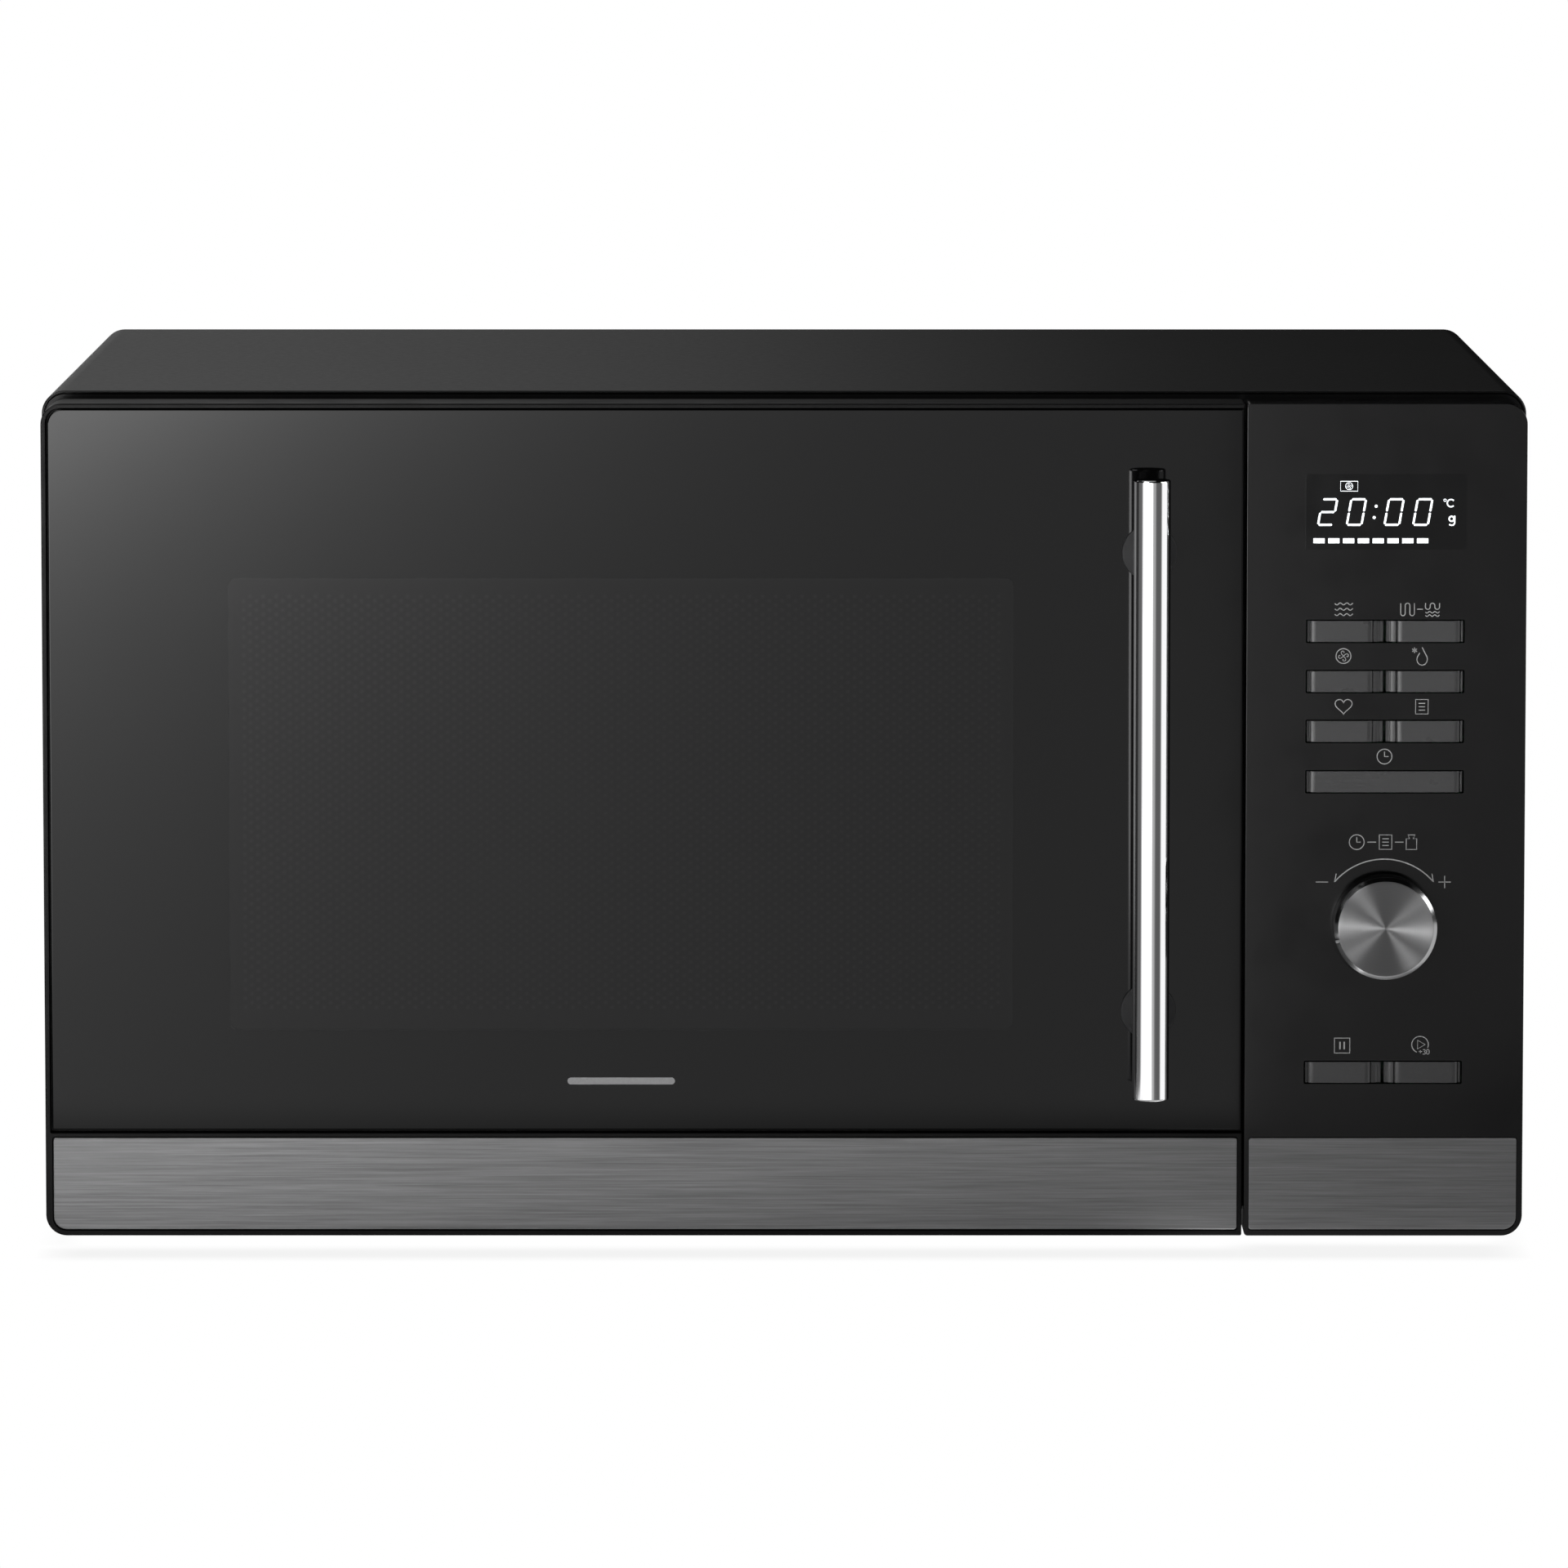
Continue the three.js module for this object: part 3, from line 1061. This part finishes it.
/** Key profile seen from above: a raised pad with rolled ends between two low lands. */
function keyProfile(width, leftLand, rightLand) {
  const shape = new THREE.Shape();
  const back = PANEL_WALL + KEY_PROUD - 0.2; // a little short of the fascia's inner face
  shape.moveTo(0, back);
  shape.lineTo(0, KEY_LAND);
  shape.lineTo(leftLand, KEY_LAND);
  shape.quadraticCurveTo(leftLand, 0, leftLand + KEY_ROLL, 0);
  shape.lineTo(width - rightLand - KEY_ROLL, 0);
  shape.quadraticCurveTo(width - rightLand, 0, width - rightLand, KEY_LAND);
  shape.lineTo(width, KEY_LAND);
  shape.lineTo(width, back);
  shape.closePath();
  return shape;
}

/** One key: cap, retaining flange behind the fascia and a stem that works the switch. */
function key(name, left, width, lands, z, parent) {
  const front = FACE_Y - KEY_PROUD;
  const cap = slabZ(keyProfile(width, ...lands), -KEY_HEIGHT / 2, KEY_HEIGHT / 2);
  const flangeFront = PANEL_WALL + KEY_PROUD + GAP;
  const flange = box([1, width - 1], [flangeFront, flangeFront + 1.2], [-4.9, 4.9]);
  const neck = box([1, width - 1], [2, flangeFront + 0.5], [-KEY_HEIGHT / 2 + 0.4, KEY_HEIGHT / 2 - 0.4]);
  const stem = box([width / 2 - 1.5, width / 2 + 1.5], [flangeFront, BOARD_FRONT - 1.6 - front], [-1.5, 1.5]);
  const body = join(cap, neck, flange, stem);
  piece(name, body, FINISH.key, parent).position.set(left, front, z);
}

function keys(parent) {
  const left = KEY_WELL_LEFT + KEY_CLEARANCE;
  const right = KEY_WELL_RIGHT - KEY_CLEARANCE;
  const leftWidth = KEY_SPLIT_X - KEY_SPLIT_GAP / 2 - left;
  const rightStart = KEY_SPLIT_X + KEY_SPLIT_GAP / 2;
  const rightWidth = right - rightStart;
  const [outer, inner] = [1.2, 4.2];
  const pair = (leftName, rightName, z) => {
    key(leftName, left, leftWidth, [outer, inner], z, parent);
    key(rightName, rightStart, rightWidth, [inner, outer], z, parent);
  };
  KEY_PAIR_ROWS.forEach((name, row) => pair(`key_${name}_left`, `key_${name}_right`, KEY_ROWS[row]));
  key('key_clock', left, right - left, [outer, outer], KEY_ROWS[3], parent);
  pair('key_stop', 'key_start', KEY_ROWS[4]);
}

// ---------------------------------------------------------------- the whole oven

function housing() {
  const group = new THREE.Group();
  [outerCover, basePlate, feet, rearPanel, rearMotorCover, cordGland, frontFrame, cavity,
    waveguide, waveguideCover, magnetron, transformer, capacitor, cavityLamp, latchBody,
    fanShroud, coolingFanMotor, coolingFanImpeller, convectionHousing, convectionHeater,
    convectionMotor, convectionFan, grillHeater, turntableMotor, turntableCoupler,
    glassTurntable, rollerRing, rollers].forEach((make) => make(group));
  hingeBracket('hinge_bracket_upper', HINGE_UPPER_Z, -1, group);
  hingeBracket('hinge_bracket_lower', HINGE_LOWER_Z, 1, group);
  return group;
}

function door() {
  const group = new THREE.Group();
  [doorFrame, doorGlass, doorTrimStrip, doorInnerPlate, doorChokeCover, doorInnerGlass,
    latchKey, handleBar, handlePosts].forEach((make) => make(group));
  return group;
}

function controls() {
  const group = new THREE.Group();
  [controlPanel, displayWindow, panelTrimStrip, controlBoard, rotaryEncoder, knob,
    keys].forEach((make) => make(group));
  return group;
}

const oven = new THREE.Group();
oven.add(housing(), door(), controls());

export default oven;
